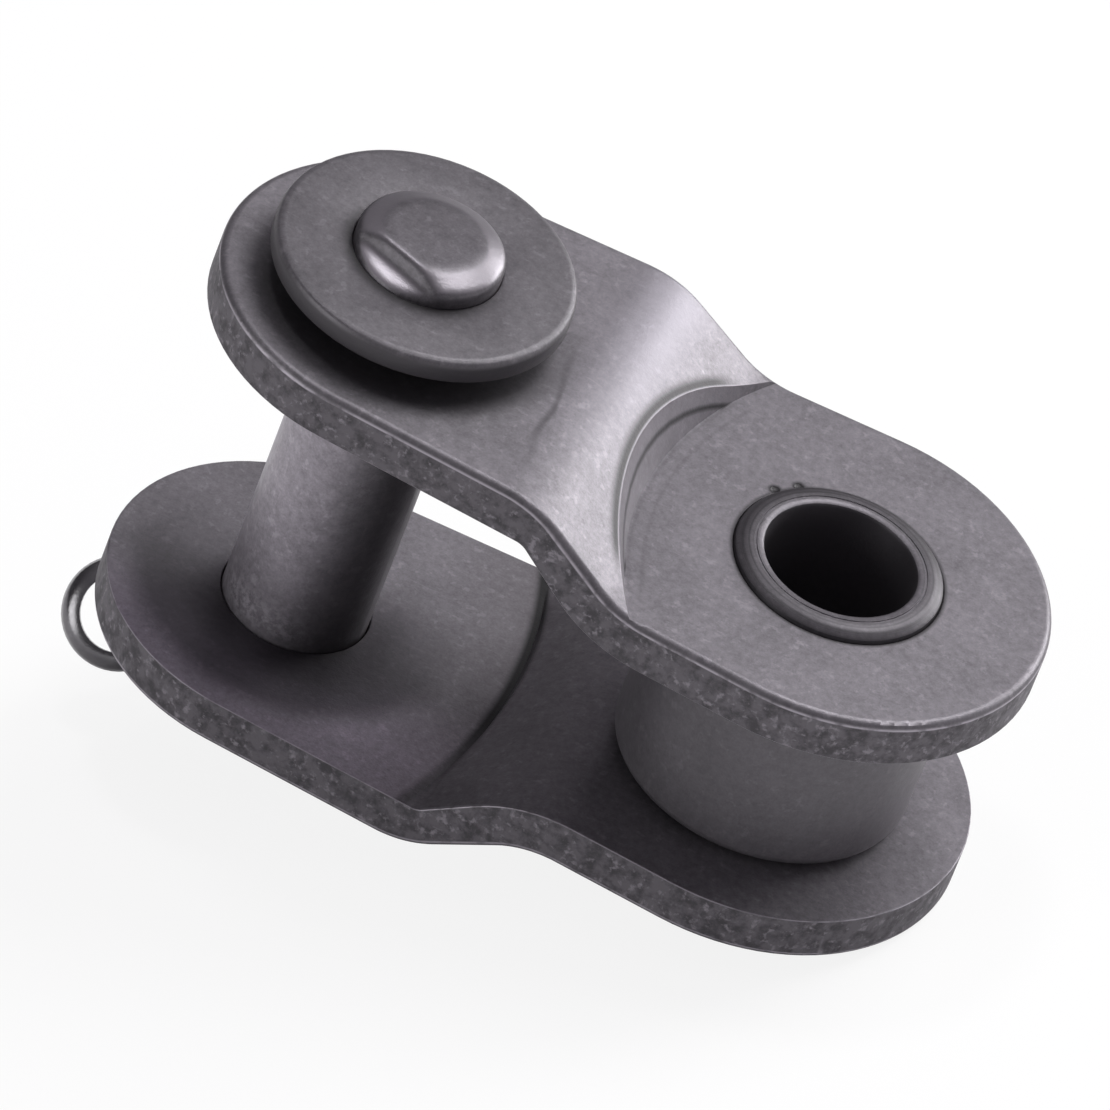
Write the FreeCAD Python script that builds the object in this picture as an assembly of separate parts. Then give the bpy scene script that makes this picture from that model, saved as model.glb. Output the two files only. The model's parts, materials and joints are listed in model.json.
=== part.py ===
import FreeCAD, Part
import math
import os
from FreeCAD import Vector

# Offset link of a roller chain, also called a cranked or half link, in millimetres.
# It is modelled in the link's own axes and laid down at the end.
# Link axes: X from the pin to the bushing, Z along the pin towards its head, origin at the bushing's centre.
# Chain sizes
PITCH = 19.05
ROLLER_R = 5.955
PIN_R = 2.975
BUSHING_R = 4.2

# Plates
PLATE_T = 2.04
INNER_WIDTH = 8.58
LINK_GAP = 0.85
WIDE_END_R = 7.62
NARROW_END_R = 8.6
EDGE_ROLL = 0.34

# Crank of the plates, placed from the pin's axis
CRANK_MID = 10.6
CRANK_ANGLE = 33.0
CRANK_R = 4.4
INNER_FOLD = 8.4
INNER_ANGLE = 38.0
INNER_FOLD_R = 0.8
INNER_RUNOUT_R = 6.2

# Arcs coined into the crank, so that the ends of the next links swing clear
OUTER_ARC_R = 17.0
OUTER_ARC_CLEAR = 1.1
OUTER_STEP = 0.74
OUTER_STEP_H = 1.37
INNER_ARC_R = 25.0
INNER_ARC_CLEAR = 0.5
INNER_STEP = 0.7

# Bushing and roller
RUNNING_GAP = 0.05
BUSHING_PROUD = 0.4
BUSHING_CHAMFER = 0.45
BORE_EDGE = 0.16
ROLLER_SIDE_GAP = 0.26
ROLLER_EDGE = 0.35

# Pin and retaining disc
PIN_FLOAT = 1.1
DISC_R = 6.0
DISC_T = 0.98
DISC_ROUND = 0.3
HEAD_SIDE = 0.66
HEAD_BEVEL_H = 0.42
HEAD_TOP_R = 1.96
FLAT_OFFSET = 1.86
FLAT_BEARING = -110.0
FLAT_LEDGE = 0.08
PIN_TAIL = 2.16
PIN_END_CHAMFER = 0.5

# Cotter pin, a folded half-round wire
COTTER_R = 0.78
WIRE_SIDES = 6
COTTER_HOLE_GAP = 0.1
EYE_R = 2.27
EYE_REACH = 6.21
EYE_CLEAR = 0.28
EYE_BEARING = -173.0
EYE_ROLL = -50.0
LEG_REACH = 2.6
LEG_STEP = 0.5
LEG_SPREAD = 4.0
LEG_SLIT = 0.08

# Sizes that follow from those above
NARROW_IN = INNER_WIDTH / 2
NARROW_OUT = NARROW_IN + PLATE_T
WIDE_IN = NARROW_OUT + LINK_GAP
WIDE_OUT = WIDE_IN + PLATE_T
OFFSET = WIDE_OUT - NARROW_OUT
PIN_HOLE_R = PIN_R + RUNNING_GAP
BORE_R = PIN_R + RUNNING_GAP
BUSHING_HALF = NARROW_OUT + BUSHING_PROUD
ROLLER_HALF = NARROW_IN - ROLLER_SIDE_GAP
DISC_LOW = WIDE_OUT + PIN_FLOAT
DISC_TOP = DISC_LOW + DISC_T
HEAD_EDGE = DISC_TOP + HEAD_SIDE
PIN_TOP = HEAD_EDGE + HEAD_BEVEL_H
EYE_HALF_HEIGHT = EYE_R * abs(math.sin(math.radians(EYE_ROLL)))
COTTER_Z = -(WIDE_OUT + EYE_CLEAR + EYE_HALF_HEIGHT)
PIN_LOW = COTTER_Z - PIN_TAIL
SPAN = 2 * (PITCH + WIDE_END_R + NARROW_END_R)

UP = Vector(0, 0, 1)
PIN_AXIS = Vector(-PITCH, 0, 0)


def lie_angle():
    """Turn about Y that brings the pin's low end and the low plate's rolled edge to one level, in degrees."""
    rise = -(NARROW_OUT - EDGE_ROLL) - PIN_LOW
    run = NARROW_END_R - EDGE_ROLL + PITCH - (PIN_R - PIN_END_CHAMFER)
    reach = math.hypot(rise, run)
    return math.degrees(math.atan2(rise, run) - math.asin(EDGE_ROLL / reach))


def arc_through(start, middle, end):
    return Part.Arc(start, middle, end).toShape()


def line(start, end):
    return Part.makeLine(start, end)


def revolved(points, centre):
    """Solid of revolution about a line parallel to Z from a closed profile of (radius, height) points."""
    corners = [Vector(centre.x + r, centre.y, z) for r, z in points]
    profile = Part.makePolygon(corners + corners[:1])
    return Part.Face(profile).revolve(centre, UP, 360)


def rounded_corner(radius, height, rounding, side):
    """Profile points of a two-step rounding at an outer corner, from the end face to the side wall."""
    middle = rounding * (1 - math.sqrt(0.5))
    return [
        (radius - rounding, height),
        (radius - middle, height - side * middle),
        (radius, height - side * rounding),
    ]


def crank_edges(start, end, fold_x, high, low, angle, high_r, low_r):
    """Edges of one face of the crank in the XZ plane, from the high flat down to the low flat."""
    turn = math.radians(angle)
    foot_x = fold_x + (high - low) / math.tan(turn)
    high_t = high_r * math.tan(turn / 2)
    low_t = low_r * math.tan(turn / 2)
    half = turn / 2
    a0 = Vector(fold_x - high_t, 0, high)
    a1 = Vector(fold_x - high_t + high_r * math.sin(half), 0, high - high_r * (1 - math.cos(half)))
    a2 = Vector(fold_x + high_t * math.cos(turn), 0, high - high_t * math.sin(turn))
    b0 = Vector(foot_x - low_t * math.cos(turn), 0, low + low_t * math.sin(turn))
    b1 = Vector(foot_x + low_t - low_r * math.sin(half), 0, low + low_r * (1 - math.cos(half)))
    b2 = Vector(foot_x + low_t, 0, low)
    return [
        line(start, a0),
        arc_through(a0, a1, a2),
        line(a2, b0),
        arc_through(b0, b1, b2),
        line(b2, end),
    ]


def cranked_strip():
    """Bent strip of plate, wider than the plate itself, from its side profile."""
    left = -PITCH - 2 * WIDE_END_R
    right = 2 * NARROW_END_R
    slope = math.radians(CRANK_ANGLE)
    outer_fold = CRANK_MID - PITCH - OFFSET / 2 / math.tan(slope)
    wide_top = Vector(left, 0, WIDE_OUT)
    wide_bottom = Vector(left, 0, WIDE_IN)
    narrow_top = Vector(right, 0, NARROW_OUT)
    narrow_bottom = Vector(right, 0, NARROW_IN)
    outer = crank_edges(wide_top, narrow_top, outer_fold, WIDE_OUT, NARROW_OUT, CRANK_ANGLE, CRANK_R, CRANK_R)
    inner = crank_edges(
        wide_bottom, narrow_bottom, INNER_FOLD - PITCH, WIDE_IN, NARROW_IN,
        INNER_ANGLE, INNER_FOLD_R, INNER_RUNOUT_R)
    ends = [line(wide_top, wide_bottom), line(narrow_top, narrow_bottom)]
    wire = Part.Wire(Part.__sortEdges__(outer + inner + ends))
    strip = Part.Face(wire).extrude(Vector(0, SPAN, 0))
    strip.translate(Vector(0, -SPAN / 2, 0))
    return strip


def outline_prism():
    """Plate outline, two round ends joined by their common tangents, as a tall prism."""
    lean = math.asin((NARROW_END_R - WIDE_END_R) / PITCH)
    across = Vector(-math.sin(lean), math.cos(lean), 0)
    mirror = Vector(across.x, -across.y, 0)
    wide_a = PIN_AXIS + across * WIDE_END_R
    wide_b = PIN_AXIS + mirror * WIDE_END_R
    narrow_a = across * NARROW_END_R
    narrow_b = mirror * NARROW_END_R
    edges = [
        arc_through(wide_a, PIN_AXIS - Vector(WIDE_END_R, 0, 0), wide_b),
        line(wide_b, narrow_b),
        arc_through(narrow_b, Vector(NARROW_END_R, 0, 0), narrow_a),
        line(narrow_a, wide_a),
    ]
    return Part.Face(Part.Wire(edges)).extrude(Vector(0, 0, SPAN))


def is_outer_rim(edge):
    """True for an edge that runs round the plate on its outer face."""
    middle = edge.valueAt((edge.FirstParameter + edge.LastParameter) / 2)
    first = edge.Vertexes[0].Point
    last = edge.Vertexes[-1].Point
    spans_plate = abs(first.y - last.y) > 1.0 and abs(first.x - last.x) < 0.01 and abs(middle.x - first.x) < 0.01
    upright = math.hypot(first.x - last.x, first.y - last.y) < 0.01 and abs(first.z - last.z) > 0.1
    return not spans_plate and not upright


def outer_rim(plate):
    """Rim edges of the outer face, picked as the upper of each pair along the side walls."""
    rim = []
    for edge in plate.Edges:
        if not is_outer_rim(edge):
            continue
        probe = edge.valueAt((edge.FirstParameter + edge.LastParameter) / 2)
        above = [e for e in plate.Edges if is_outer_rim(e) and higher_at(e, probe)]
        if not above:
            rim.append(edge)
    return rim


def higher_at(edge, probe):
    """True where an edge passes over the probe point, well above it."""
    mast = Part.makeLine(probe + Vector(0, 0, PLATE_T / 2), probe + Vector(0, 0, 3 * PLATE_T))
    return edge.distToShape(mast)[0] < 0.001


def outer_coin():
    """Punch that sets the curved step at the foot of the crank on the outer face."""
    wall_x = -(WIDE_END_R + OUTER_ARC_CLEAR)
    centre = Vector(wall_x + OUTER_ARC_R, 0, 0)
    step_top = NARROW_OUT + OUTER_STEP_H
    wall_lean = OUTER_STEP / OUTER_STEP_H
    above = 2 * OFFSET
    profile = [
        (OUTER_ARC_R + wall_lean * above, step_top + above),
        (OUTER_ARC_R - OUTER_STEP, NARROW_OUT),
        (0, NARROW_OUT),
        (0, step_top + above),
    ]
    return revolved(profile, centre)


def inner_coin():
    """Punch that carries the wide gap's flat on to a curved corner on the inner face."""
    wall_x = -PITCH + NARROW_END_R + INNER_ARC_CLEAR
    centre = Vector(wall_x - INNER_ARC_R, 0, 0)
    profile = [
        (INNER_ARC_R, WIDE_IN),
        (INNER_ARC_R + INNER_STEP, NARROW_IN),
        (0, NARROW_IN),
        (0, WIDE_IN),
    ]
    return revolved(profile, centre)


def upper_plate():
    plate = cranked_strip().common(outline_prism())
    plate = plate.Solids[0].makeFillet(EDGE_ROLL, outer_rim(plate.Solids[0]))
    plate = plate.cut([outer_coin(), inner_coin()])
    pin_hole = Part.makeCylinder(PIN_HOLE_R, SPAN, PIN_AXIS)
    bushing_hole = Part.makeCylinder(BUSHING_R, SPAN)
    return plate.cut([pin_hole, bushing_hole]).Solids[0]


def lower_plate(upper):
    return upper.mirror(Vector(0, 0, 0), UP)


def bushing():
    end_r = BUSHING_R - BUSHING_CHAMFER
    profile = [
        (BORE_R, BUSHING_HALF - BORE_EDGE),
        (BORE_R + BORE_EDGE, BUSHING_HALF),
        (end_r, BUSHING_HALF),
        (BUSHING_R, BUSHING_HALF - BUSHING_CHAMFER / 2),
        (BUSHING_R, BUSHING_CHAMFER / 2 - BUSHING_HALF),
        (end_r, -BUSHING_HALF),
        (BORE_R + BORE_EDGE, -BUSHING_HALF),
        (BORE_R, BORE_EDGE - BUSHING_HALF),
    ]
    return revolved(profile, Vector(0, 0, 0))


def roller():
    bore_r = BUSHING_R + RUNNING_GAP
    upper_corner = rounded_corner(ROLLER_R, ROLLER_HALF, ROLLER_EDGE, 1)
    lower_corner = rounded_corner(ROLLER_R, -ROLLER_HALF, ROLLER_EDGE, -1)
    profile = [(bore_r, ROLLER_HALF)] + upper_corner + lower_corner[::-1] + [(bore_r, -ROLLER_HALF)]
    return revolved(profile, Vector(0, 0, 0))


def bearing(degrees):
    turn = math.radians(degrees)
    return Vector(math.cos(turn), math.sin(turn), 0)


def pin():
    profile = [
        (0, PIN_TOP),
        (HEAD_TOP_R, PIN_TOP),
        (PIN_R, HEAD_EDGE),
        (PIN_R, PIN_LOW + PIN_END_CHAMFER),
        (PIN_R - PIN_END_CHAMFER, PIN_LOW),
        (0, PIN_LOW),
    ]
    body = revolved(profile, PIN_AXIS)
    flat = Part.makeBox(PIN_R, 2 * PIN_R, PIN_TOP)
    flat.translate(Vector(FLAT_OFFSET, -PIN_R, DISC_TOP + FLAT_LEDGE))
    flat.rotate(Vector(0, 0, 0), UP, FLAT_BEARING)
    flat.translate(PIN_AXIS)
    out = bearing(EYE_BEARING)
    hole_start = PIN_AXIS + Vector(0, 0, COTTER_Z) - out * (2 * PIN_R)
    cross_hole = Part.makeCylinder(COTTER_R + COTTER_HOLE_GAP, 4 * PIN_R, hole_start, out)
    return body.cut([flat, cross_hole])


def retaining_disc():
    rim = rounded_corner(DISC_R, DISC_TOP, DISC_ROUND, 1)
    profile = [(PIN_R, DISC_TOP)] + rim + [(DISC_R, DISC_LOW), (PIN_R, DISC_LOW)]
    return revolved(profile, PIN_AXIS)


def half_round(flat_offset, side):
    """Half-round section of the wire in the XZ plane, its flat facing the other half."""
    corners = []
    for step in range(WIRE_SIDES + 1):
        turn = math.pi * step / WIRE_SIDES
        depth = (COTTER_R - LEG_SLIT / 2) * math.sin(turn)
        corners.append(Vector(flat_offset + side * depth, 0, -COTTER_R * math.cos(turn)))
    return Part.Face(Part.makePolygon(corners + corners[:1]))


def leg(side, length):
    """One leg along +Y from the eye, straight through the pin and then spread a little."""
    section = half_round(side * LEG_SLIT / 2, side)
    straight = EYE_REACH + PIN_R
    body = section.extrude(Vector(0, straight, 0))
    tip = section.copy()
    tip.translate(Vector(0, straight, 0))
    hinge = Vector(side * LEG_SLIT / 2, straight, 0)
    tip.rotate(hinge, UP, -side * LEG_SPREAD)
    spread = math.radians(LEG_SPREAD)
    tip = tip.extrude(Vector(side * math.sin(spread), math.cos(spread), 0) * length)
    return body.fuse(tip)


def cotter_pin():
    """Eye and two legs in one piece, made lying flat and then set through the pin."""
    inner_r = EYE_R - COTTER_R + LEG_SLIT / 2
    ring = half_round(inner_r, 1).revolve(Vector(0, 0, 0), UP, 360)
    legs = leg(1, LEG_REACH).fuse(leg(-1, LEG_REACH - LEG_STEP))
    legs = legs.cut(Part.makeCylinder(inner_r + COTTER_R / 2, 4 * COTTER_R, Vector(0, 0, -2 * COTTER_R)))
    cotter = ring.fuse(legs).removeSplitter()
    cotter.rotate(Vector(0, 0, 0), UP, 90)
    cotter.rotate(Vector(0, 0, 0), Vector(1, 0, 0), EYE_ROLL)
    cotter.rotate(Vector(0, 0, 0), UP, EYE_BEARING)
    cotter.translate(PIN_AXIS + bearing(EYE_BEARING) * EYE_REACH + Vector(0, 0, COTTER_Z))
    return cotter


def lay_down(shape):
    laid = shape.copy()
    laid.rotate(Vector(0, 0, 0), Vector(0, 1, 0), lie_angle())
    return laid


def main():
    upper = upper_plate()
    nodes = {
        "upper_offset_plate": upper,
        "lower_offset_plate": lower_plate(upper),
        "bushing": bushing(),
        "roller": roller(),
        "pin": pin(),
        "retaining_disc": retaining_disc(),
        "cotter_pin": cotter_pin(),
    }
    os.makedirs("parts", exist_ok=True)
    for name, shape in nodes.items():
        laid = lay_down(shape)
        laid.exportStep(f"parts/{name}.step")
        solids = len(laid.Solids)
        print(f"{name}: valid {laid.isValid()}, solids {solids}, volume {laid.Volume:.1f} mm3")
    print(f"lie angle {lie_angle():.3f} degrees")


main()
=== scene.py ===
import json
import math

import bpy
from mathutils import Euler, Matrix, Vector


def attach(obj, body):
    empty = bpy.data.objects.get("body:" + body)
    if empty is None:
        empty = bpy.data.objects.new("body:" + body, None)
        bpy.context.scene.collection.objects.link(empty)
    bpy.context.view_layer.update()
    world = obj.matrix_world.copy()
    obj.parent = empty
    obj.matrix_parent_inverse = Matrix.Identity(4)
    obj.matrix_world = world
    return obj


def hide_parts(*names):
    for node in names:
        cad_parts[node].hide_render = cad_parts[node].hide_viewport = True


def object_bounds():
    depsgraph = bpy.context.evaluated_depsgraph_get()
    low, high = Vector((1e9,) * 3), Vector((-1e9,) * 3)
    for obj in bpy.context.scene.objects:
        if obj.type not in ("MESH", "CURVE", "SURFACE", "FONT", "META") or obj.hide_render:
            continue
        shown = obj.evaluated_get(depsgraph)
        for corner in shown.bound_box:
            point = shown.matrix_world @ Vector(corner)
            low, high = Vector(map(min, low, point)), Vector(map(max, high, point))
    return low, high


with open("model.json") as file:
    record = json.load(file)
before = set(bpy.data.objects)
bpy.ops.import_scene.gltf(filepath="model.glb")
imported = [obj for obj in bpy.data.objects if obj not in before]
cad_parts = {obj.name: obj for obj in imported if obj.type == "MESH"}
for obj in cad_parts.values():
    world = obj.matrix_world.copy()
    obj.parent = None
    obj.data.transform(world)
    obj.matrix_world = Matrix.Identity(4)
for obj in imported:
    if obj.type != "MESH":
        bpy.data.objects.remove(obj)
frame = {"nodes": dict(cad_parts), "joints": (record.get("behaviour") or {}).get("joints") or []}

cad_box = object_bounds()

# Sizes in metres, in the link's own axes: X from the pin to the bushing, Z along the pin towards its head,
# origin at the bushing's centre. In the frame the link lies turned by LEAN about Y.
MM = 0.001
AXIS = Vector(frame["joints"][0]["axis"]).normalized()
LEAN = math.atan2(AXIS.x, AXIS.z)
TO_WORLD = Matrix.Rotation(LEAN, 4, "Y")
PITCH = 19.05 * MM
WIDE_END_R = 7.62 * MM
NARROW_END_R = 8.6 * MM
NARROW_OUT = 6.33 * MM

# Coined arcs of the plates, and the line of the crank's outer slope between its two bends
FOOT_ARC_R = 16.26 * MM
FOOT_ARC_X = 8.28 * MM
FOOT_WALL_LEAN = 0.54
INNER_ARC_R = 25.0 * MM
INNER_ARC_X = -34.95 * MM
CRANK_MID_X = -8.45 * MM
CRANK_MID_Z = 7.775 * MM
CRANK_FALL = 0.649

# Pin, disc and the pressed flat on the pin's head
PIN_R = 2.975 * MM
DISC_R = 6.0 * MM
DISC_TOP = 11.3 * MM
HEAD_EDGE = DISC_TOP + 0.66 * MM
PIN_TOP = HEAD_EDGE + 0.42 * MM
HEAD_TOP_R = 1.96 * MM
HEAD_ROOT = DISC_TOP - 0.6 * MM
HEAD_INSET = 0.01 * MM
FLAT_BEARING = math.radians(-110)
FLAT_CORNER_OUT = 2.17 * MM
FLAT_CORNER_HEIGHT = DISC_TOP + 0.41 * MM
FLAT_CORNER_LEAN = (0.69, 0.723)
CUTTER_R = 3.0 * MM
WEAR_VOXEL_MM = 0.08
WEAR_ROUNDS = 60

# Bushing, and the two dents beside its hole as bearing and distance
BUSHING_R = 4.2 * MM
BORE_R = 3.025 * MM
BUSHING_HALF = 6.73 * MM
TURNED_RINGS_PER_MM = 7.0
NICKS = ((math.radians(146), 4.36 * MM), (math.radians(132), 4.32 * MM))
NICK_R = 0.35 * MM
NICK_RISE = 0.29 * MM

# Copies of CAD nodes: vertices closer than WELD are joined, facets within FLAT_ANGLE of each other are one
# face, and edges that turn less than SMOOTH_ANGLE, or PLATE_SMOOTH_ANGLE on a plate, shade smooth
WELD = 0.001 * MM
FLAT_ANGLE = math.radians(0.4)
SMOOTH_ANGLE = math.radians(38)
PLATE_SMOOTH_ANGLE = math.radians(24)

# Widths of the softened rims, and the degrees that an edge turns before it is softened
PLATE_RIM = (0.07 * MM, 80)
DISC_RIM = (0.07 * MM, 20)
TURNED_RIM = (0.06 * MM, 20)
WIRE_RIM = (0.04 * MM, 40)

# Directions across the pin: towards the camera, and towards the side in the plates' shade
NEAR_SIDE = (-0.35, -0.94)
SHADED_SIDE = (0.86, -0.5)

# Camera of the photograph, and the direction of the window, in the frame's axes
CAMERA_PLACE = Vector((0.178756, -0.539861, 0.429041))
CAMERA_TARGET = Vector((-0.009595, -0.000423, 0.003713))
CAMERA_ROLL = math.radians(1.872)
CAMERA_LENS = 601.85
WINDOW_SIDE = Vector((0.62, 0.35, 0.70)).normalized()


def grey(value, tint=(1.0, 0.935, 1.03)):
    """Grey with the slight violet tint of the blackened steel."""
    return tuple(value * t for t in tint) + (1.0,)


# Colours of the plates
FACE_STEEL = grey(0.135)
EDGE_DARK = grey(0.06)
EDGE_BURNISHED = grey(0.125)
EDGE_TORN = grey(0.23)
# Painted shade on the rolled rim band, and rims rubbed bright with a painted highlight
ROLLED_RIM_SHADE = grey(0.06)
RUBBED_RIM_HIGHLIGHT = grey(0.36)
# Painted light on the coined wall, and a painted highlight on the crank's crest
COINED_WALL_LIGHT = grey(0.24)
CREST_HIGHLIGHT = (0.20, 0.19, 0.215, 1.0)
# Painted shadow by the disc, and painted shade in the creases, the ring and dents round the hole and along
# the fold
DISC_SHADOW = grey(0.03)
CREASE_SHADE = grey(0.018)
# Painted shade towards the inner arc and on the slope past it, with a brown tint there, and painted shade in
# the inner crease
SLOPE_SHADE_BROWN = (0.036, 0.029, 0.03, 1.0)
INNER_CREASE_SHADE = grey(0.006)

# Factors on the lower plate's face: in the pin's shade, and where light reaches it
SHADE_FACTOR = grey(0.25)
LIGHT_FACTOR = grey(2.2)

# Colours of the other pieces
PIN_SHAFT = grey(0.29)
PIN_HEAD = grey(0.1)
PIN_FOOT = grey(0.5)
PIN_SHADE = grey(0.03)
PIN_BURNISHED = grey(0.17)
# Painted highlight on the lip of the pin's head
PIN_LIP_HIGHLIGHT = grey(0.28)
DISC_FACE = grey(0.095)
# Painted shade on the disc's side, and a painted shadow round the pin's head on the disc
DISC_SIDE_SHADE = grey(0.06)
DISC_HEAD_SHADOW = grey(0.012)
BUSHING_END = grey(0.12)
# Painted shade at the bushing's rim and down its bore; the turned rings share the rim's colour
BUSHING_GROOVE_AND_RIM_SHADE = grey(0.03)
BUSHING_BORE_SHADE = grey(0.07)
ROLLER_STEEL = grey(0.1)
BRIGHT_WIRE = grey(0.17, (1.0, 0.98, 1.02))

# Studio: the floor's colour, the share of it that glows to the camera, and the tint of the room's light
FLOOR_WHITE = (0.82, 0.82, 0.82, 1.0)
FLOOR_GLOW = 0.86
ROOM_LIGHT = (1.0, 0.95, 1.03, 1.0)


# Small helpers for meshes

def deselect_all():
    if bpy.context.object and bpy.context.object.mode != "OBJECT":
        bpy.ops.object.mode_set(mode="OBJECT")
    bpy.ops.object.select_all(action="DESELECT")


def work_on(piece):
    deselect_all()
    piece.select_set(True)
    bpy.context.view_layer.objects.active = piece


def apply_all(piece):
    """Applies the piece's modifiers in their order."""
    work_on(piece)
    for modifier in list(piece.modifiers):
        bpy.ops.object.modifier_apply(modifier=modifier.name)


def loose_copy(node, name):
    """Copy of a CAD node that has nothing of the node but its mesh."""
    source = frame["nodes"][node]
    piece = source.copy()
    piece.data = source.data.copy()
    piece.name = name
    piece.parent = None
    for key in list(piece.keys()):
        del piece[key]
    bpy.context.scene.collection.objects.link(piece)
    return piece


def finer_copy(node, name, body, rim):
    """Copy of a CAD node with welded facets, softened edges and smooth shading, which stands for the node."""
    width, angle = rim
    piece = loose_copy(node, name)
    work_on(piece)
    bpy.ops.mesh.customdata_custom_splitnormals_clear()
    bpy.ops.object.mode_set(mode="EDIT")
    bpy.ops.mesh.select_all(action="SELECT")
    bpy.ops.mesh.remove_doubles(threshold=WELD)
    bpy.ops.mesh.dissolve_limited(angle_limit=FLAT_ANGLE)
    bpy.ops.object.mode_set(mode="OBJECT")
    edge = piece.modifiers.new("edge", "BEVEL")
    edge.width = width
    edge.segments = 3
    edge.limit_method = "ANGLE"
    edge.angle_limit = math.radians(angle)
    apply_all(piece)
    bpy.ops.object.shade_smooth_by_angle(angle=SMOOTH_ANGLE)
    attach(piece, body)
    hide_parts(node)
    return piece


def keep_flats_flat(piece):
    """Smooth shading in which the large faces keep their own direction."""
    work_on(piece)
    bpy.ops.object.shade_smooth_by_angle(angle=PLATE_SMOOTH_ANGLE)
    weighted = piece.modifiers.new("weighted", "WEIGHTED_NORMAL")
    weighted.keep_sharp = True
    weighted.weight = 100
    apply_all(piece)


def lay_down(piece):
    """Turns a piece made in the link's own axes as the link lies."""
    work_on(piece)
    bpy.ops.object.transform_apply(location=True, rotation=True, scale=True)
    piece.matrix_world = TO_WORLD
    bpy.ops.object.transform_apply(location=True, rotation=True, scale=True)


def extrude_rings(radius, rings):
    """In edit mode, draws the selected ring of the given radius on through (radius, rise) steps."""
    for next_radius, rise in rings:
        bpy.ops.mesh.extrude_region_move(TRANSFORM_OT_translate={"value": (0.0, 0.0, rise)})
        ratio = next_radius / radius
        if abs(ratio - 1.0) > 1e-6:
            bpy.ops.transform.resize(value=(ratio, ratio, 1.0))
        radius = next_radius


def turned(name, place, profile, closed):
    """Turned piece about a line along Z through place, from (radius, height) points.
    A closed profile makes a tube."""
    deselect_all()
    first_radius, first_height = profile[0]
    fill = "NOTHING" if closed else "NGON"
    start = (place[0], place[1], first_height)
    bpy.ops.mesh.primitive_circle_add(vertices=128, radius=first_radius, fill_type=fill, location=start)
    piece = bpy.context.object
    piece.name = name
    bpy.ops.object.mode_set(mode="EDIT")
    bpy.ops.mesh.select_all(action="SELECT")
    points = list(profile[1:]) + ([profile[0]] if closed else [])
    rings = []
    height = first_height
    for radius, next_height in points:
        rings.append((radius, next_height - height))
        height = next_height
    extrude_rings(first_radius, rings)
    bpy.ops.mesh.select_all(action="SELECT")
    bpy.ops.mesh.remove_doubles(threshold=0.5 * WELD)
    bpy.ops.mesh.normals_make_consistent(inside=False)
    bpy.ops.object.mode_set(mode="OBJECT")
    return piece


def close_ends(piece):
    """Closes the open ends of a turned piece."""
    work_on(piece)
    bpy.ops.object.mode_set(mode="EDIT")
    bpy.ops.mesh.select_all(action="DESELECT")
    bpy.ops.mesh.select_mode(type="EDGE")
    bpy.ops.mesh.select_non_manifold()
    bpy.ops.mesh.edge_face_add()
    bpy.ops.mesh.select_all(action="SELECT")
    bpy.ops.mesh.normals_make_consistent(inside=False)
    bpy.ops.mesh.select_mode(type="VERT")
    bpy.ops.object.mode_set(mode="OBJECT")


def cut_away(piece, cutter):
    """Boolean difference, after which the cutter is gone."""
    cut = piece.modifiers.new("cut", "BOOLEAN")
    cut.operation = "DIFFERENCE"
    cut.solver = "EXACT"
    cut.object = cutter
    apply_all(piece)
    bpy.data.objects.remove(cutter)


def coat(piece, material):
    """Gives a piece one material in place of any it had."""
    piece.data.materials.clear()
    piece.data.materials.append(material)


# Node helpers for materials

def new_tree(name):
    material = bpy.data.materials.new(name)
    material.use_nodes = True
    tree = material.node_tree
    tree.nodes.clear()
    return material, tree


def add(tree, kind, **values):
    node = tree.nodes.new(kind)
    for key, value in values.items():
        setattr(node, key, value)
    return node


def feed(tree, target, value):
    """Sets a socket, or links another socket to it."""
    if isinstance(value, bpy.types.NodeSocket):
        tree.links.new(value, target)
    else:
        target.default_value = value


def math_node(tree, operation, a, b=0.0, clamp=False):
    node = add(tree, "ShaderNodeMath", operation=operation, use_clamp=clamp)
    feed(tree, node.inputs[0], a)
    feed(tree, node.inputs[1], b)
    return node.outputs[0]


def plus(tree, a, b):
    return math_node(tree, "ADD", a, b)


def minus(tree, a, b):
    return math_node(tree, "SUBTRACT", a, b)


def times(tree, first, *others):
    product = first
    for factor in others:
        product = math_node(tree, "MULTIPLY", product, factor)
    return product


def largest(tree, first, *others):
    result = first
    for value in others:
        result = math_node(tree, "MAXIMUM", result, value)
    return result


def length(tree, x, y):
    square = plus(tree, times(tree, x, x), times(tree, y, y))
    return math_node(tree, "SQRT", square)


def arc_distance(tree, x, y, centre_x):
    """Distance from a line along the pin through (centre_x, 0)."""
    return length(tree, minus(tree, x, centre_x), y)


def towards(tree, x, y, direction):
    """How far (x, y) lies in a direction across the pin."""
    return plus(tree, times(tree, x, direction[0]), times(tree, y, direction[1]))


def ramp_between(tree, value, low, high):
    """0 below low and 1 above high, smooth between; with low the larger one, 1 below high and 0 above low."""
    node = add(tree, "ShaderNodeMapRange", interpolation_type="SMOOTHSTEP")
    feed(tree, node.inputs["Value"], value)
    if low <= high:
        limits = (low, high, 0.0, 1.0)
    else:
        limits = (high, low, 1.0, 0.0)
    for socket, limit in zip(("From Min", "From Max", "To Min", "To Max"), limits):
        node.inputs[socket].default_value = limit
    return node.outputs["Result"]


def band(tree, value, low, middle, high):
    """Peak of 1 at the middle, 0 at low and high."""
    up = ramp_between(tree, value, low, middle)
    down = ramp_between(tree, value, high, middle)
    return times(tree, up, down)


def mix_colour(tree, factor, a, b, blend="MIX"):
    node = add(tree, "ShaderNodeMix", data_type="RGBA", blend_type=blend)
    feed(tree, node.inputs[0], factor)
    feed(tree, node.inputs[6], a)
    feed(tree, node.inputs[7], b)
    return node.outputs[2]


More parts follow.
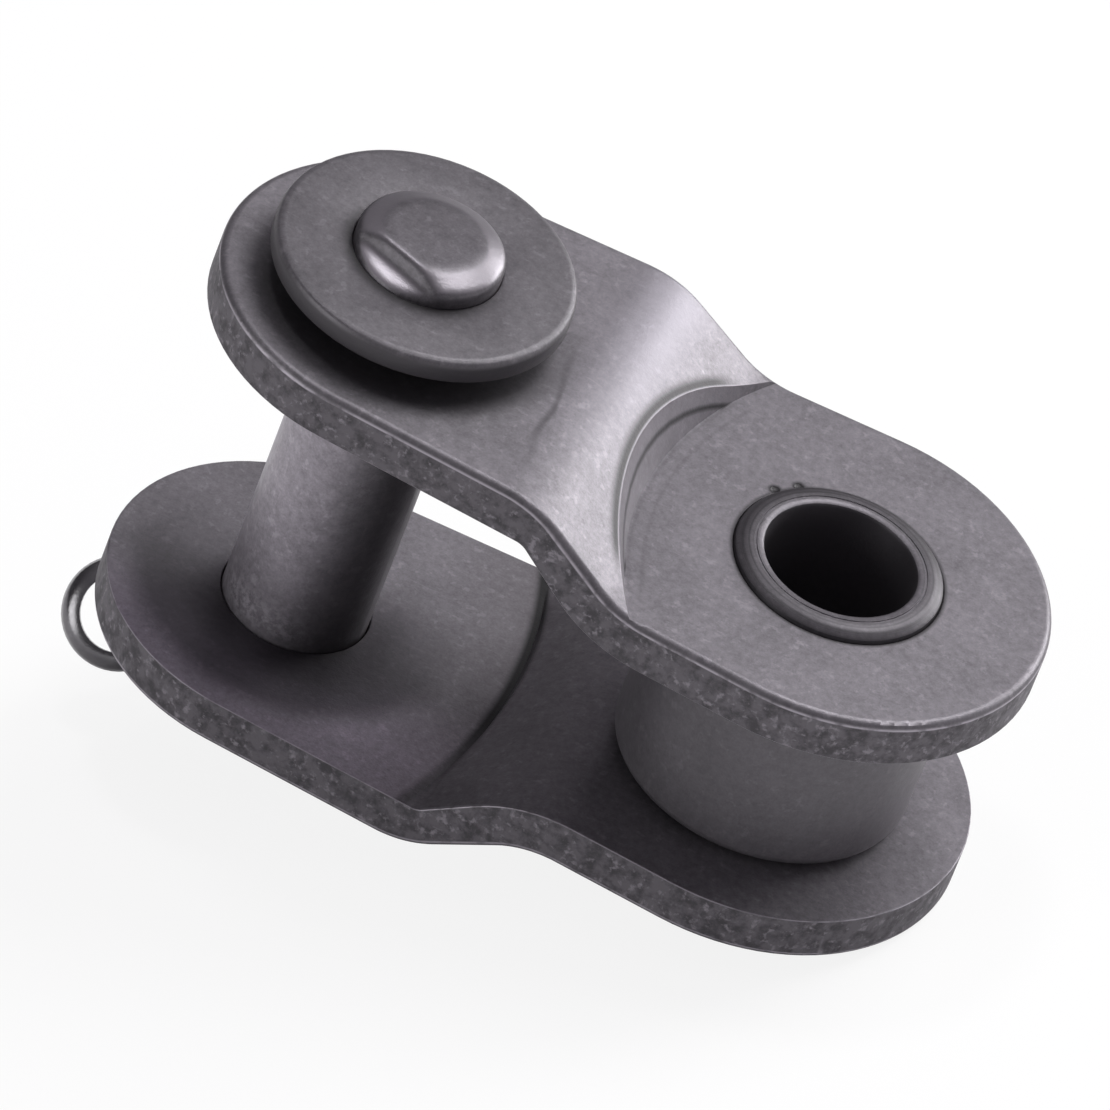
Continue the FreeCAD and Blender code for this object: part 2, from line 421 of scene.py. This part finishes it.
def mix_value(tree, factor, a, b):
    node = add(tree, "ShaderNodeMix", data_type="FLOAT")
    feed(tree, node.inputs[0], factor)
    feed(tree, node.inputs[2], a)
    feed(tree, node.inputs[3], b)
    return node.outputs[0]


def noise(tree, vector, per_mm, detail=4.0, rough=0.55, distortion=0.0):
    node = add(tree, "ShaderNodeTexNoise")
    feed(tree, node.inputs["Vector"], vector)
    node.inputs["Scale"].default_value = per_mm / MM
    node.inputs["Detail"].default_value = detail
    node.inputs["Roughness"].default_value = rough
    node.inputs["Distortion"].default_value = distortion
    return node.outputs["Fac"]


def parts(tree, place):
    """The x, y and z of a place."""
    split = add(tree, "ShaderNodeSeparateXYZ")
    feed(tree, split.inputs[0], place)
    return split.outputs


def link_place(tree):
    """Place in the link's own axes."""
    coordinates = add(tree, "ShaderNodeTexCoord")
    turn = add(tree, "ShaderNodeMapping", vector_type="POINT")
    turn.inputs["Rotation"].default_value = (0.0, -LEAN, 0.0)
    feed(tree, turn.inputs["Vector"], coordinates.outputs["Object"])
    return turn.outputs["Vector"]


def link_facing(tree):
    """How far the surface faces along the pin: 1 towards its head, -1 away."""
    dot = add(tree, "ShaderNodeVectorMath", operation="DOT_PRODUCT")
    feed(tree, dot.inputs[0], add(tree, "ShaderNodeTexCoord").outputs["Normal"])
    dot.inputs[1].default_value = AXIS
    return dot.outputs["Value"]


def toned(tree, colour, tone):
    """Colour times a tone that lies round 1."""
    node = add(tree, "ShaderNodeCombineColor")
    for socket in node.inputs[:3]:
        feed(tree, socket, tone)
    return mix_colour(tree, 1.0, colour, node.outputs[0], blend="MULTIPLY")


def metal_surface(tree, colour, roughness, metallic, height, bump_depth):
    shader = add(tree, "ShaderNodeBsdfPrincipled")
    feed(tree, shader.inputs["Base Color"], colour)
    feed(tree, shader.inputs["Roughness"], roughness)
    shader.inputs["Metallic"].default_value = metallic
    bump = add(tree, "ShaderNodeBump")
    bump.inputs["Distance"].default_value = bump_depth
    bump.inputs["Strength"].default_value = 1.0
    feed(tree, bump.inputs["Height"], height)
    tree.links.new(bump.outputs["Normal"], shader.inputs["Normal"])
    output = add(tree, "ShaderNodeOutputMaterial")
    tree.links.new(shader.outputs["BSDF"], output.inputs["Surface"])


# Shared effects

def plate_outline_group():
    """Distance inside the plate's outline, two round ends joined by tangents, in metres."""
    group = bpy.data.node_groups.new("plate outline", "ShaderNodeTree")
    group.interface.new_socket("Place", in_out="INPUT", socket_type="NodeSocketVector")
    group.interface.new_socket("Distance", in_out="OUTPUT", socket_type="NodeSocketFloat")
    inlet = group.nodes.new("NodeGroupInput")
    out = group.nodes.new("NodeGroupOutput")
    x, y, _ = parts(group, inlet.outputs["Place"])
    y = math_node(group, "ABSOLUTE", y)
    from_pin = plus(group, x, PITCH)
    lean = math.asin((NARROW_END_R - WIDE_END_R) / PITCH)
    along = towards(group, from_pin, y, (math.cos(lean), math.sin(lean)))
    across = towards(group, from_pin, y, (-math.sin(lean), math.cos(lean)))
    side = minus(group, WIDE_END_R, across)
    wide = minus(group, WIDE_END_R, arc_distance(group, x, y, -PITCH))
    narrow = minus(group, NARROW_END_R, arc_distance(group, x, y, 0.0))
    past_wide = math_node(group, "GREATER_THAN", along, 0.0)
    past_side = math_node(group, "GREATER_THAN", along, PITCH * math.cos(lean))
    distance = mix_value(group, past_side, mix_value(group, past_wide, wide, side), narrow)
    group.links.new(distance, out.inputs["Distance"])
    return group


def tumbled_group():
    """Speckle and cloudy tone of tumbled, blackened steel."""
    group = bpy.data.node_groups.new("tumbled steel", "ShaderNodeTree")
    group.interface.new_socket("Place", in_out="INPUT", socket_type="NodeSocketVector")
    group.interface.new_socket("Tone", in_out="OUTPUT", socket_type="NodeSocketFloat")
    group.interface.new_socket("Height", in_out="OUTPUT", socket_type="NodeSocketFloat")
    inlet = group.nodes.new("NodeGroupInput")
    out = group.nodes.new("NodeGroupOutput")
    place = inlet.outputs["Place"]
    cloud = noise(group, place, 0.4)
    speckle = noise(group, place, 3.2, rough=0.7)
    fine = noise(group, place, 11.0, detail=2.0)
    spots = ramp_between(group, noise(group, place, 2.1, detail=3.0, rough=0.6), 0.57, 0.7)
    stretch = add(group, "ShaderNodeMapping", vector_type="POINT")
    stretch.inputs["Rotation"].default_value = (0.0, 0.0, math.radians(34))
    stretch.inputs["Scale"].default_value = (1.0, 14.0, 1.0)
    group.links.new(place, stretch.inputs["Vector"])
    scratches = ramp_between(group, noise(group, stretch.outputs["Vector"], 0.5, detail=2.0), 0.66, 0.74)
    layers = (
        (cloud, 0.5, 0.6),
        (speckle, 0.5, 0.85),
        (fine, 0.5, 0.45),
        (spots, 0.0, 0.3),
        (scratches, 0.0, 0.15),
    )
    tone = 1.0
    for layer, middle, amount in layers:
        tone = plus(group, times(group, minus(group, layer, middle), amount), tone)
    group.links.new(tone, out.inputs["Tone"])
    group.links.new(plus(group, speckle, times(group, fine, 0.4)), out.inputs["Height"])
    return group


def tumbled(tree, place):
    node = add(tree, "ShaderNodeGroup", node_tree=TUMBLED)
    feed(tree, node.inputs["Place"], place)
    return node.outputs["Tone"], node.outputs["Height"]


# Materials of the plates

def plate_material(name, outward):
    """Blackened plate: speckled faces, mottled sheared edge, painted shade on the rolled rim band, rims
    rubbed bright with a painted highlight. outward is 1 or -1 along Z.
    """
    material, tree = new_tree(name)
    place = link_place(tree)
    facing = link_facing(tree)
    tone, height = tumbled(tree, place)
    outer = times(tree, facing, float(outward))
    inner = times(tree, facing, -float(outward))
    outline = add(tree, "ShaderNodeGroup", node_tree=PLATE_OUTLINE)
    feed(tree, outline.inputs["Place"], place)
    rim = outline.outputs["Distance"]
    near_rim = ramp_between(tree, rim, 0.6 * MM, 0.36 * MM)
    at_rim = ramp_between(tree, rim, 0.2 * MM, 0.1 * MM)
    wall = ramp_between(tree, math_node(tree, "ABSOLUTE", facing), 0.18, 0.08)
    face = outer_light_and_shade(tree, toned(tree, FACE_STEEL, tone), place, outer)
    face = inner_light_and_shade(tree, face, place, inner)
    colour = mix_colour(tree, wall, face, sheared_colour(tree, place))
    # Painted shade on the rolled band of the outer rim, picked out by the way it faces
    rolled_shade = times(tree, band(tree, outer, 0.25, 0.6, 0.97), near_rim, 0.35)
    colour = mix_colour(tree, rolled_shade, colour, ROLLED_RIM_SHADE)
    # Rims rubbed bright, with a painted highlight along the edge, broken by noise
    breaks = ramp_between(tree, noise(tree, place, 1.2, detail=3.0), 0.32, 0.56)
    rubbed_outer_highlight = times(tree, band(tree, outer, 0.02, 0.2, 0.5), near_rim)
    rubbed_inner_highlight = times(tree, band(tree, inner, 0.15, 0.55, 0.96), at_rim)
    rubbed = times(tree, largest(tree, rubbed_outer_highlight, rubbed_inner_highlight), breaks)
    colour = mix_colour(tree, rubbed, colour, RUBBED_RIM_HIGHLIGHT)
    roughness = mix_value(tree, wall, 0.46, 0.62)
    metal_surface(tree, colour, roughness, 0.6, height, 0.012 * MM)
    return material


def sheared_colour(tree, place):
    """Torn and burnished patches of a sheared edge."""
    blotch = noise(tree, place, 1.6, rough=0.65)
    pits = noise(tree, place, 2.9, detail=3.0, rough=0.6, distortion=0.15)
    colour = mix_colour(tree, ramp_between(tree, blotch, 0.34, 0.62), EDGE_DARK, EDGE_BURNISHED)
    return mix_colour(tree, ramp_between(tree, pits, 0.53, 0.74), colour, EDGE_TORN)


def outer_light_and_shade(tree, colour, place, outer):
    """Outer side: painted light on the coined wall, a painted highlight on the crest, a painted shadow by the
    disc, then painted shade in the creases, the ring, the dents and along the fold.
    The shade by the disc alone also falls on the inner side."""
    x, y, z = parts(tree, place)
    outer_side = ramp_between(tree, outer, 0.2, 0.3)
    creases, wall = coined_wall(tree, x, y, z)
    # Painted light on the coined wall between the creases
    colour = mix_colour(tree, wall, colour, COINED_WALL_LIGHT)
    # Painted highlight on the crank's crest, stronger towards its far side
    crest = band(tree, x, -13.0 * MM, -10.2 * MM, -8.2 * MM)
    crest_highlight = times(tree, crest, ramp_between(tree, y, -6.0 * MM, 7.0 * MM), outer_side, 0.7)
    colour = mix_colour(tree, crest_highlight, colour, CREST_HIGHLIGHT)
    by_disc = ramp_between(tree, arc_distance(tree, x, y, -PITCH), DISC_R + 1.3 * MM, DISC_R - 0.2 * MM)
    by_disc = times(tree, by_disc, ramp_between(tree, y, 4.0 * MM, -4.0 * MM), 0.75)
    colour = mix_colour(tree, by_disc, colour, DISC_SHADOW)
    # Painted shade in the creases, in the ring and dents round the hole, and along the fold
    shade_marks = largest(tree, creases, hole_shade(tree, x, y), fold_shade_line(tree, place, x, y))
    return mix_colour(tree, times(tree, shade_marks, outer_side), colour, CREASE_SHADE)


def coined_wall(tree, x, y, z):
    """Masks of painted shade in the creases along the coined arc, and of painted light on the wall between
    them.
    """
    faded = ramp_between(tree, math_node(tree, "ABSOLUTE", y), 7.0 * MM, 5.4 * MM)
    height = math_node(tree, "ABSOLUTE", z)
    above = minus(tree, height, NARROW_OUT)
    beyond = minus(tree, arc_distance(tree, x, y, FOOT_ARC_X), FOOT_ARC_R)
    beyond = minus(tree, beyond, times(tree, above, FOOT_WALL_LEAN))
    crest = plus(tree, times(tree, minus(tree, CRANK_MID_X, x), CRANK_FALL), CRANK_MID_Z)
    drop = minus(tree, crest, height)
    below_top = ramp_between(tree, beyond, 0.05 * MM, 0.02 * MM)
    past_foot = ramp_between(tree, beyond, -0.1 * MM, -0.03 * MM)
    on_wall = times(tree, below_top, past_foot)
    top = band(tree, beyond, -0.02 * MM, 0.08 * MM, 0.38 * MM)
    top = math_node(tree, "MULTIPLY", top, 1.1, clamp=True)
    second = times(tree, band(tree, drop, 0.34 * MM, 0.48 * MM, 0.62 * MM), on_wall, 0.9)
    foot = times(tree, band(tree, beyond, -0.3 * MM, -0.12 * MM, 0.0), 0.2)
    faint = times(tree, band(tree, beyond, -0.85 * MM, -0.7 * MM, -0.55 * MM), 0.18)
    creases = times(tree, largest(tree, top, second, foot, faint), faded)
    lit = mix_value(tree, ramp_between(tree, drop, 0.42 * MM, 0.3 * MM), 0.3, 0.4)
    wall = times(tree, on_wall, ramp_between(tree, above, 0.0, 0.05 * MM), faded, lit)
    return creases, wall


def hole_shade(tree, x, y):
    """Painted shade in a ring round the bushing, and in the dents beside it."""
    around = ramp_between(tree, arc_distance(tree, x, y, 0.0), BUSHING_R + 0.22 * MM, BUSHING_R + 0.04 * MM)
    shade_marks = times(tree, around, 0.8)
    for bearing, distance in NICKS:
        from_x = minus(tree, x, distance * math.cos(bearing))
        from_y = minus(tree, y, distance * math.sin(bearing))
        dent = ramp_between(tree, length(tree, from_x, from_y), 0.38 * MM, 0.18 * MM)
        shade_marks = largest(tree, shade_marks, dent)
    return shade_marks


def fold_shade_line(tree, place, x, y):
    """Faint broken line of painted shade where the wide end's face turns into the crank."""
    wander = times(tree, minus(tree, noise(tree, place, 0.3, detail=1.0), 0.5), 1.6 * MM)
    line = band(tree, plus(tree, x, wander), -12.6 * MM, -12.25 * MM, -12.0 * MM)
    reach = band(tree, y, -7.0 * MM, -3.0 * MM, 3.5 * MM)
    breaks = ramp_between(tree, noise(tree, place, 0.4, detail=2.0), 0.25, 0.6)
    return times(tree, line, reach, breaks, 0.55)


def inner_light_and_shade(tree, colour, place, inner):
    """Inner side: painted shade round the pin, painted light on the near part, painted shade towards the
    inner arc, a brown tint with painted shade on the slope past it, and painted shade in its crease.
    """
    x, y, _ = parts(tree, place)
    inner_side = ramp_between(tree, inner, 0.2, 0.3)
    past_arc = minus(tree, arc_distance(tree, x, y, INNER_ARC_X), INNER_ARC_R)
    far_end = times(tree, ramp_between(tree, x, -16.0 * MM, -20.0 * MM), 0.3)
    near_side = towards(tree, plus(tree, x, PITCH), y, (-0.5, 1.0))
    by_pin = ramp_between(tree, arc_distance(tree, x, y, -PITCH), 6.4 * MM, 3.2 * MM)
    by_pin = times(tree, by_pin, ramp_between(tree, near_side, 2.5 * MM, -1.5 * MM), 0.75)
    shaded = times(tree, largest(tree, far_end, by_pin), inner_side)
    colour = mix_colour(tree, shaded, colour, SHADE_FACTOR, blend="MULTIPLY")
    # Painted shade that deepens towards the inner arc, and a brown tint with painted shade on the slope past
    # it
    off_narrow_end = times(tree, inner_side, ramp_between(tree, x, -4.5 * MM, -7.5 * MM))
    shade_to_arc = times(tree, ramp_between(tree, past_arc, -4.5 * MM, 0.0), 0.3)
    slope = mix_value(tree, ramp_between(tree, past_arc, -0.02 * MM, 0.05 * MM), shade_to_arc, 0.12)
    colour = mix_colour(tree, times(tree, slope, off_narrow_end), colour, SLOPE_SHADE_BROWN)
    near_part = ramp_between(tree, y, -1.0 * MM, -6.0 * MM)
    lit = times(tree, near_part, ramp_between(tree, past_arc, 0.0, -0.6 * MM), inner_side, 0.6)
    colour = mix_colour(tree, lit, colour, LIGHT_FACTOR, blend="MULTIPLY")
    # Painted shade in the crease along the inner arc
    crease = band(tree, past_arc, -0.6 * MM, -0.05 * MM, 0.3 * MM)
    crease = math_node(tree, "MULTIPLY", crease, 1.3, clamp=True)
    crease = times(tree, crease, mix_value(tree, near_part, 1.0, 0.35), off_narrow_end)
    return mix_colour(tree, crease, colour, INNER_CREASE_SHADE)


# Materials of the other pieces

def plain_steel(name, colour, roughness, metallic, speckle):
    """Even steel that carries a share of the tumbled speckle."""
    material, tree = new_tree(name)
    tone, height = tumbled(tree, link_place(tree))
    colour = toned(tree, colour, mix_value(tree, speckle, 1.0, tone))
    metal_surface(tree, colour, roughness, metallic, height, 0.008 * MM)
    return material


def pin_material():
    """Ground pin, rubbed bright just above the lower plate, with a burnished rim and a painted highlight on
    the lip of its head.
    """
    material, tree = new_tree("pin steel")
    place = link_place(tree)
    facing = link_facing(tree)
    tone, height = tumbled(tree, place)
    x, y, z = parts(tree, place)
    x = plus(tree, x, PITCH)
    shaft = ramp_between(tree, z, DISC_TOP, DISC_TOP - 0.02 * MM)
    on_head = ramp_between(tree, z, DISC_TOP, DISC_TOP + 0.02 * MM)
    colour = toned(tree, mix_colour(tree, shaft, PIN_HEAD, PIN_SHAFT), tone)
    foot = band(tree, z, -7.2 * MM, -6.4 * MM, -5.0 * MM)
    near = ramp_between(tree, towards(tree, x, y, NEAR_SIDE), 1.6 * MM, 2.9 * MM)
    breaks = ramp_between(tree, noise(tree, place, 3.0, rough=0.7), 0.42, 0.62)
    colour = mix_colour(tree, times(tree, foot, near, breaks), colour, PIN_FOOT)
    away = ramp_between(tree, towards(tree, x, y, SHADED_SIDE), 1.0 * MM, 2.9 * MM)
    colour = mix_colour(tree, times(tree, away, shaft, 0.8), colour, PIN_SHADE)
    burnished = times(tree, band(tree, facing, 0.6, 0.92, 1.0), on_head, 0.8)
    colour = mix_colour(tree, burnished, colour, PIN_BURNISHED)
    # Painted highlight on the left part of the lip
    colour = mix_colour(tree, times(tree, lip_highlight_mask(tree, x, y, facing), on_head), colour, PIN_LIP_HIGHLIGHT)
    roughness = mix_value(tree, burnished, 0.42, 0.34)
    metal_surface(tree, colour, roughness, 0.7, height, 0.01 * MM)
    return material


def lip_highlight_mask(tree, x, y, facing):
    """Painted highlight on the left part of the lip under the pressed flat; x and y are from the pin's axis.
    """
    flat = (math.cos(FLAT_BEARING), math.sin(FLAT_BEARING))
    outward = ramp_between(tree, towards(tree, x, y, flat), 2.1 * MM, 2.4 * MM)
    upward = ramp_between(tree, facing, 0.45, 0.8)
    return times(tree, outward, upward, ramp_between(tree, x, 0.6 * MM, -0.9 * MM))


def disc_material():
    """Dark disc with painted shade on its side, and a painted shadow round the pin's head, most on the
    camera's side.
    """
    material, tree = new_tree("disc steel")
    place = link_place(tree)
    tone, height = tumbled(tree, place)
    x, y, _ = parts(tree, place)
    x = plus(tree, x, PITCH)
    colour = toned(tree, DISC_FACE, tone)
    # Painted shade on the disc's side
    colour = mix_colour(tree, ramp_between(tree, link_facing(tree), 0.5, 0.2), colour, DISC_SIDE_SHADE)
    # Painted shadow of the pin's head on the disc, most on the camera's side
    near = ramp_between(tree, towards(tree, x, y, NEAR_SIDE), -2.0 * MM, 2.6 * MM)
    head_shadow = times(tree, ramp_between(tree, length(tree, x, y), 3.7 * MM, 3.0 * MM), near, 0.9)
    colour = mix_colour(tree, head_shadow, colour, DISC_HEAD_SHADOW)
    metal_surface(tree, colour, 0.46, 0.5, height, 0.01 * MM)
    return material


def bushing_material():
    """Dark hardened end with fine turned rings, painted shade at its rim, and painted shade down the bore."""
    material, tree = new_tree("bushing steel")
    place = link_place(tree)
    tone, height = tumbled(tree, place)
    x, y, _ = parts(tree, place)
    distance = arc_distance(tree, x, y, 0.0)
    colour = toned(tree, BUSHING_END, tone)
    # Painted shade on the rim's chamfer
    rim = ramp_between(tree, distance, BUSHING_R - 0.72 * MM, BUSHING_R - 0.55 * MM)
    colour = mix_colour(tree, times(tree, rim, 0.55), colour, BUSHING_GROOVE_AND_RIM_SHADE)
    colour = mix_colour(tree, times(tree, turned_rings(tree, distance), 0.5), colour, BUSHING_GROOVE_AND_RIM_SHADE)
    # Painted shade down the bore
    inside = ramp_between(tree, distance, BORE_R + 0.05 * MM, BORE_R + 0.02 * MM)
    colour = mix_colour(tree, inside, colour, BUSHING_BORE_SHADE)
    metal_surface(tree, colour, 0.46, 0.7, height, 0.008 * MM)
    return material


def turned_rings(tree, distance):
    """Fine concentric lines, from noise along the radius alone."""
    node = add(tree, "ShaderNodeTexNoise", noise_dimensions="1D")
    feed(tree, node.inputs["W"], times(tree, distance, TURNED_RINGS_PER_MM / MM))
    node.inputs["Scale"].default_value = 1.0
    node.inputs["Detail"].default_value = 3.0
    return ramp_between(tree, node.outputs["Fac"], 0.42, 0.6)


def floor_material():
    """Pale floor that glows nearly white to the camera alone, and still keeps a soft shadow."""
    material, tree = new_tree("pale floor")
    diffuse = add(tree, "ShaderNodeBsdfDiffuse")
    diffuse.inputs["Color"].default_value = FLOOR_WHITE
    glow = add(tree, "ShaderNodeEmission")
    glow.inputs["Strength"].default_value = 1.0
    seen = add(tree, "ShaderNodeLightPath").outputs["Is Camera Ray"]
    mix = add(tree, "ShaderNodeMixShader")
    feed(tree, mix.inputs[0], times(tree, seen, FLOOR_GLOW))
    tree.links.new(diffuse.outputs[0], mix.inputs[1])
    tree.links.new(glow.outputs[0], mix.inputs[2])
    output = add(tree, "ShaderNodeOutputMaterial")
    tree.links.new(mix.outputs[0], output.inputs["Surface"])
    return material


# Pieces finished by hand

def turned_bushing():
    """Bushing with a broad rounded outer chamfer and fine turned steps on its ends.
    Each row is in mm: in from the outer radius, or out from the bore, and down from the end."""
    from_outside = (
        (0.0, -0.5), (0.06, -0.27), (0.24, -0.1), (0.5, -0.02), (0.62, 0.0),
        (0.74, 0.0), (0.76, -0.04), (0.82, -0.04), (0.84, 0.0),
    )
    from_bore = ((0.17, 0.0), (0.06, -0.06), (0.0, -0.18))
    top = [(BUSHING_R - inset * MM, BUSHING_HALF + drop * MM) for inset, drop in from_outside]
    top += [(BORE_R + outset * MM, BUSHING_HALF + drop * MM) for outset, drop in from_bore]
    bottom = [(radius, -height) for radius, height in reversed(top)]
    piece = turned("pressed_bushing", (0.0, 0.0), top + bottom, True)
    work_on(piece)
    bpy.ops.object.shade_smooth_by_angle(angle=math.radians(30))
    lay_down(piece)
    return piece


def nick(plate, bearing, distance):
    """Small shallow dent on the edge of the bushing's hole."""
    place = Vector((distance * math.cos(bearing), distance * math.sin(bearing), NARROW_OUT + NICK_RISE))
    deselect_all()
    bpy.ops.mesh.primitive_ico_sphere_add(subdivisions=4, radius=NICK_R, location=TO_WORLD @ place)
    cut_away(plate, bpy.context.object)


def resize(piece, factor):
    """Scales a piece about the origin, in its mesh."""
    work_on(piece)
    bpy.ops.transform.resize(value=(factor, factor, factor), center_override=(0.0, 0.0, 0.0))
    bpy.ops.object.transform_apply(location=True, rotation=True, scale=True)


def wear_smooth(piece, voxel_mm, rounds):
    """Rounds every edge as by wear. The piece is remeshed a thousand times larger, then brought back."""
    resize(piece, 1.0 / MM)
    remesh = piece.modifiers.new("remesh", "REMESH")
    remesh.mode = "VOXEL"
    remesh.voxel_size = voxel_mm
    remesh.use_smooth_shade = True
    smooth = piece.modifiers.new("smooth", "SMOOTH")
    smooth.factor = 0.5
    smooth.iterations = rounds
    apply_all(piece)
    resize(piece, MM)


def facet_cutter():
    """Eight-sided bar whose one corner leaves a steep facet and a sloping lip on the pin's head."""
    up = Vector((0.0, 0.0, 1.0))
    out = Vector((math.cos(FLAT_BEARING), math.sin(FLAT_BEARING), 0.0))
    across = up.cross(out)
    corner = Vector((-PITCH, 0.0, FLAT_CORNER_HEIGHT)) + out * FLAT_CORNER_OUT
    bisector = (out * FLAT_CORNER_LEAN[0] + up * FLAT_CORNER_LEAN[1]).normalized()
    deselect_all()
    bpy.ops.mesh.primitive_cylinder_add(vertices=8, radius=CUTTER_R, depth=8.0 * MM)
    cutter = bpy.context.object
    turn = Matrix((bisector.cross(-across), bisector, -across)).transposed().to_4x4()
    cutter.matrix_world = Matrix.Translation(corner + bisector * CUTTER_R) @ turn
    return cutter


def give_pressed_head(pin):
    """Takes the plain head off the pin's copy and joins a softer one with a pressed facet and lip."""
    deselect_all()
    bpy.ops.mesh.primitive_cube_add(size=10.0 * MM, location=(-PITCH, 0.0, HEAD_ROOT + 5.0 * MM))
    block = bpy.context.object
    lay_down(block)
    cut_away(pin, block)
    side_r = PIN_R - HEAD_INSET
    top = (HEAD_TOP_R - HEAD_INSET, PIN_TOP - HEAD_INSET)
    head = turned("head", (-PITCH, 0.0), [(side_r, HEAD_ROOT), (side_r, HEAD_EDGE), top], False)
    close_ends(head)
    cut_away(head, facet_cutter())
    wear_smooth(head, WEAR_VOXEL_MM, WEAR_ROUNDS)
    lay_down(head)
    work_on(pin)
    head.select_set(True)
    bpy.ops.object.join()


# Studio

def set_world():
    """White to the camera; for light and reflections a dim room that is lighter towards the window."""
    world = bpy.data.worlds.new("studio")
    bpy.context.scene.world = world
    world.use_nodes = True
    tree = world.node_tree
    tree.nodes.clear()
    to_window = add(tree, "ShaderNodeVectorMath", operation="DOT_PRODUCT")
    feed(tree, to_window.inputs[0], add(tree, "ShaderNodeTexCoord").outputs["Generated"])
    to_window.inputs[1].default_value = WINDOW_SIDE
    level = mix_value(tree, ramp_between(tree, to_window.outputs["Value"], -0.3, 0.9), 0.12, 0.5)
    room = add(tree, "ShaderNodeBackground")
    room.inputs["Color"].default_value = ROOM_LIGHT
    feed(tree, room.inputs["Strength"], level)
    white = add(tree, "ShaderNodeBackground")
    white.inputs["Color"].default_value = (1.0, 1.0, 1.0, 1.0)
    mix = add(tree, "ShaderNodeMixShader")
    tree.links.new(add(tree, "ShaderNodeLightPath").outputs["Is Camera Ray"], mix.inputs[0])
    tree.links.new(room.outputs[0], mix.inputs[1])
    tree.links.new(white.outputs[0], mix.inputs[2])
    output = add(tree, "ShaderNodeOutputWorld")
    tree.links.new(mix.outputs[0], output.inputs["Surface"])


def softbox(name, direction, distance, size, power):
    """Round soft lamp that looks at the link from a direction."""
    lamp = bpy.data.lights.new(name, "AREA")
    lamp.shape = "DISK"
    lamp.size = size
    lamp.energy = power
    holder = bpy.data.objects.new(name, lamp)
    holder.location = CAMERA_TARGET + Vector(direction).normalized() * distance
    holder.rotation_euler = (holder.location - CAMERA_TARGET).to_track_quat("Z", "Y").to_euler()
    bpy.context.scene.collection.objects.link(holder)


def set_lights():
    softbox("window above", (0.42, 0.41, 0.81), 0.45, 0.22, 1.2)
    softbox("low window behind", (0.58, 0.78, 0.22), 0.5, 0.24, 1.7)
    softbox("lamp overhead", (-0.06, 0.14, 0.99), 0.6, 0.10, 0.6)
    softbox("room light in front", (-0.65, -0.70, 0.28), 0.9, 0.6, 3.1)


def set_camera():
    lens = bpy.data.cameras.new("photo view")
    lens.lens = CAMERA_LENS
    lens.sensor_width = 36.0
    lens.clip_start = 0.05
    lens.clip_end = 20.0
    camera = bpy.data.objects.new("photo view", lens)
    camera.location = CAMERA_PLACE
    aim = (CAMERA_PLACE - CAMERA_TARGET).to_track_quat("Z", "Y")
    camera.rotation_euler = (aim @ Euler((0.0, 0.0, CAMERA_ROLL)).to_quaternion()).to_euler()
    bpy.context.scene.collection.objects.link(camera)
    bpy.context.scene.camera = camera


def set_floor():
    deselect_all()
    bpy.ops.mesh.primitive_plane_add(size=4.0, location=(0.0, 0.0, cad_box[0][2] - 0.02 * MM))
    floor = bpy.context.object
    floor.name = "floor"
    bpy.ops.object.transform_apply(location=True)
    coat(floor, floor_material())


TUMBLED = tumbled_group()
PLATE_OUTLINE = plate_outline_group()

upper = finer_copy("upper_offset_plate", "upper_cranked_plate", "link", PLATE_RIM)
for bearing, distance in NICKS:
    nick(upper, bearing, distance)
keep_flats_flat(upper)
coat(upper, plate_material("blackened plate upper", 1))

lower = finer_copy("lower_offset_plate", "lower_cranked_plate", "link", PLATE_RIM)
keep_flats_flat(lower)
coat(lower, plate_material("blackened plate lower", -1))

bushing = turned_bushing()
coat(bushing, bushing_material())
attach(bushing, "link")
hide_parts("bushing")

roller = finer_copy("roller", "chain_roller", "roller", TURNED_RIM)
coat(roller, plain_steel("roller steel", ROLLER_STEEL, 0.45, 0.4, 0.7))

# The pin loses its CAD material before the head joins it, so that one material covers both
pin = finer_copy("pin", "headed_pin", "pin", TURNED_RIM)
pin.data.materials.clear()
give_pressed_head(pin)
coat(pin, pin_material())

disc = finer_copy("retaining_disc", "disc_under_head", "pin", DISC_RIM)
coat(disc, disc_material())

cotter = finer_copy("cotter_pin", "split_pin", "pin", WIRE_RIM)
coat(cotter, plain_steel("bright wire", BRIGHT_WIRE, 0.25, 1.0, 0.5))

set_world()
set_floor()
set_lights()
set_camera()
bpy.context.scene.view_settings.view_transform = "Standard"
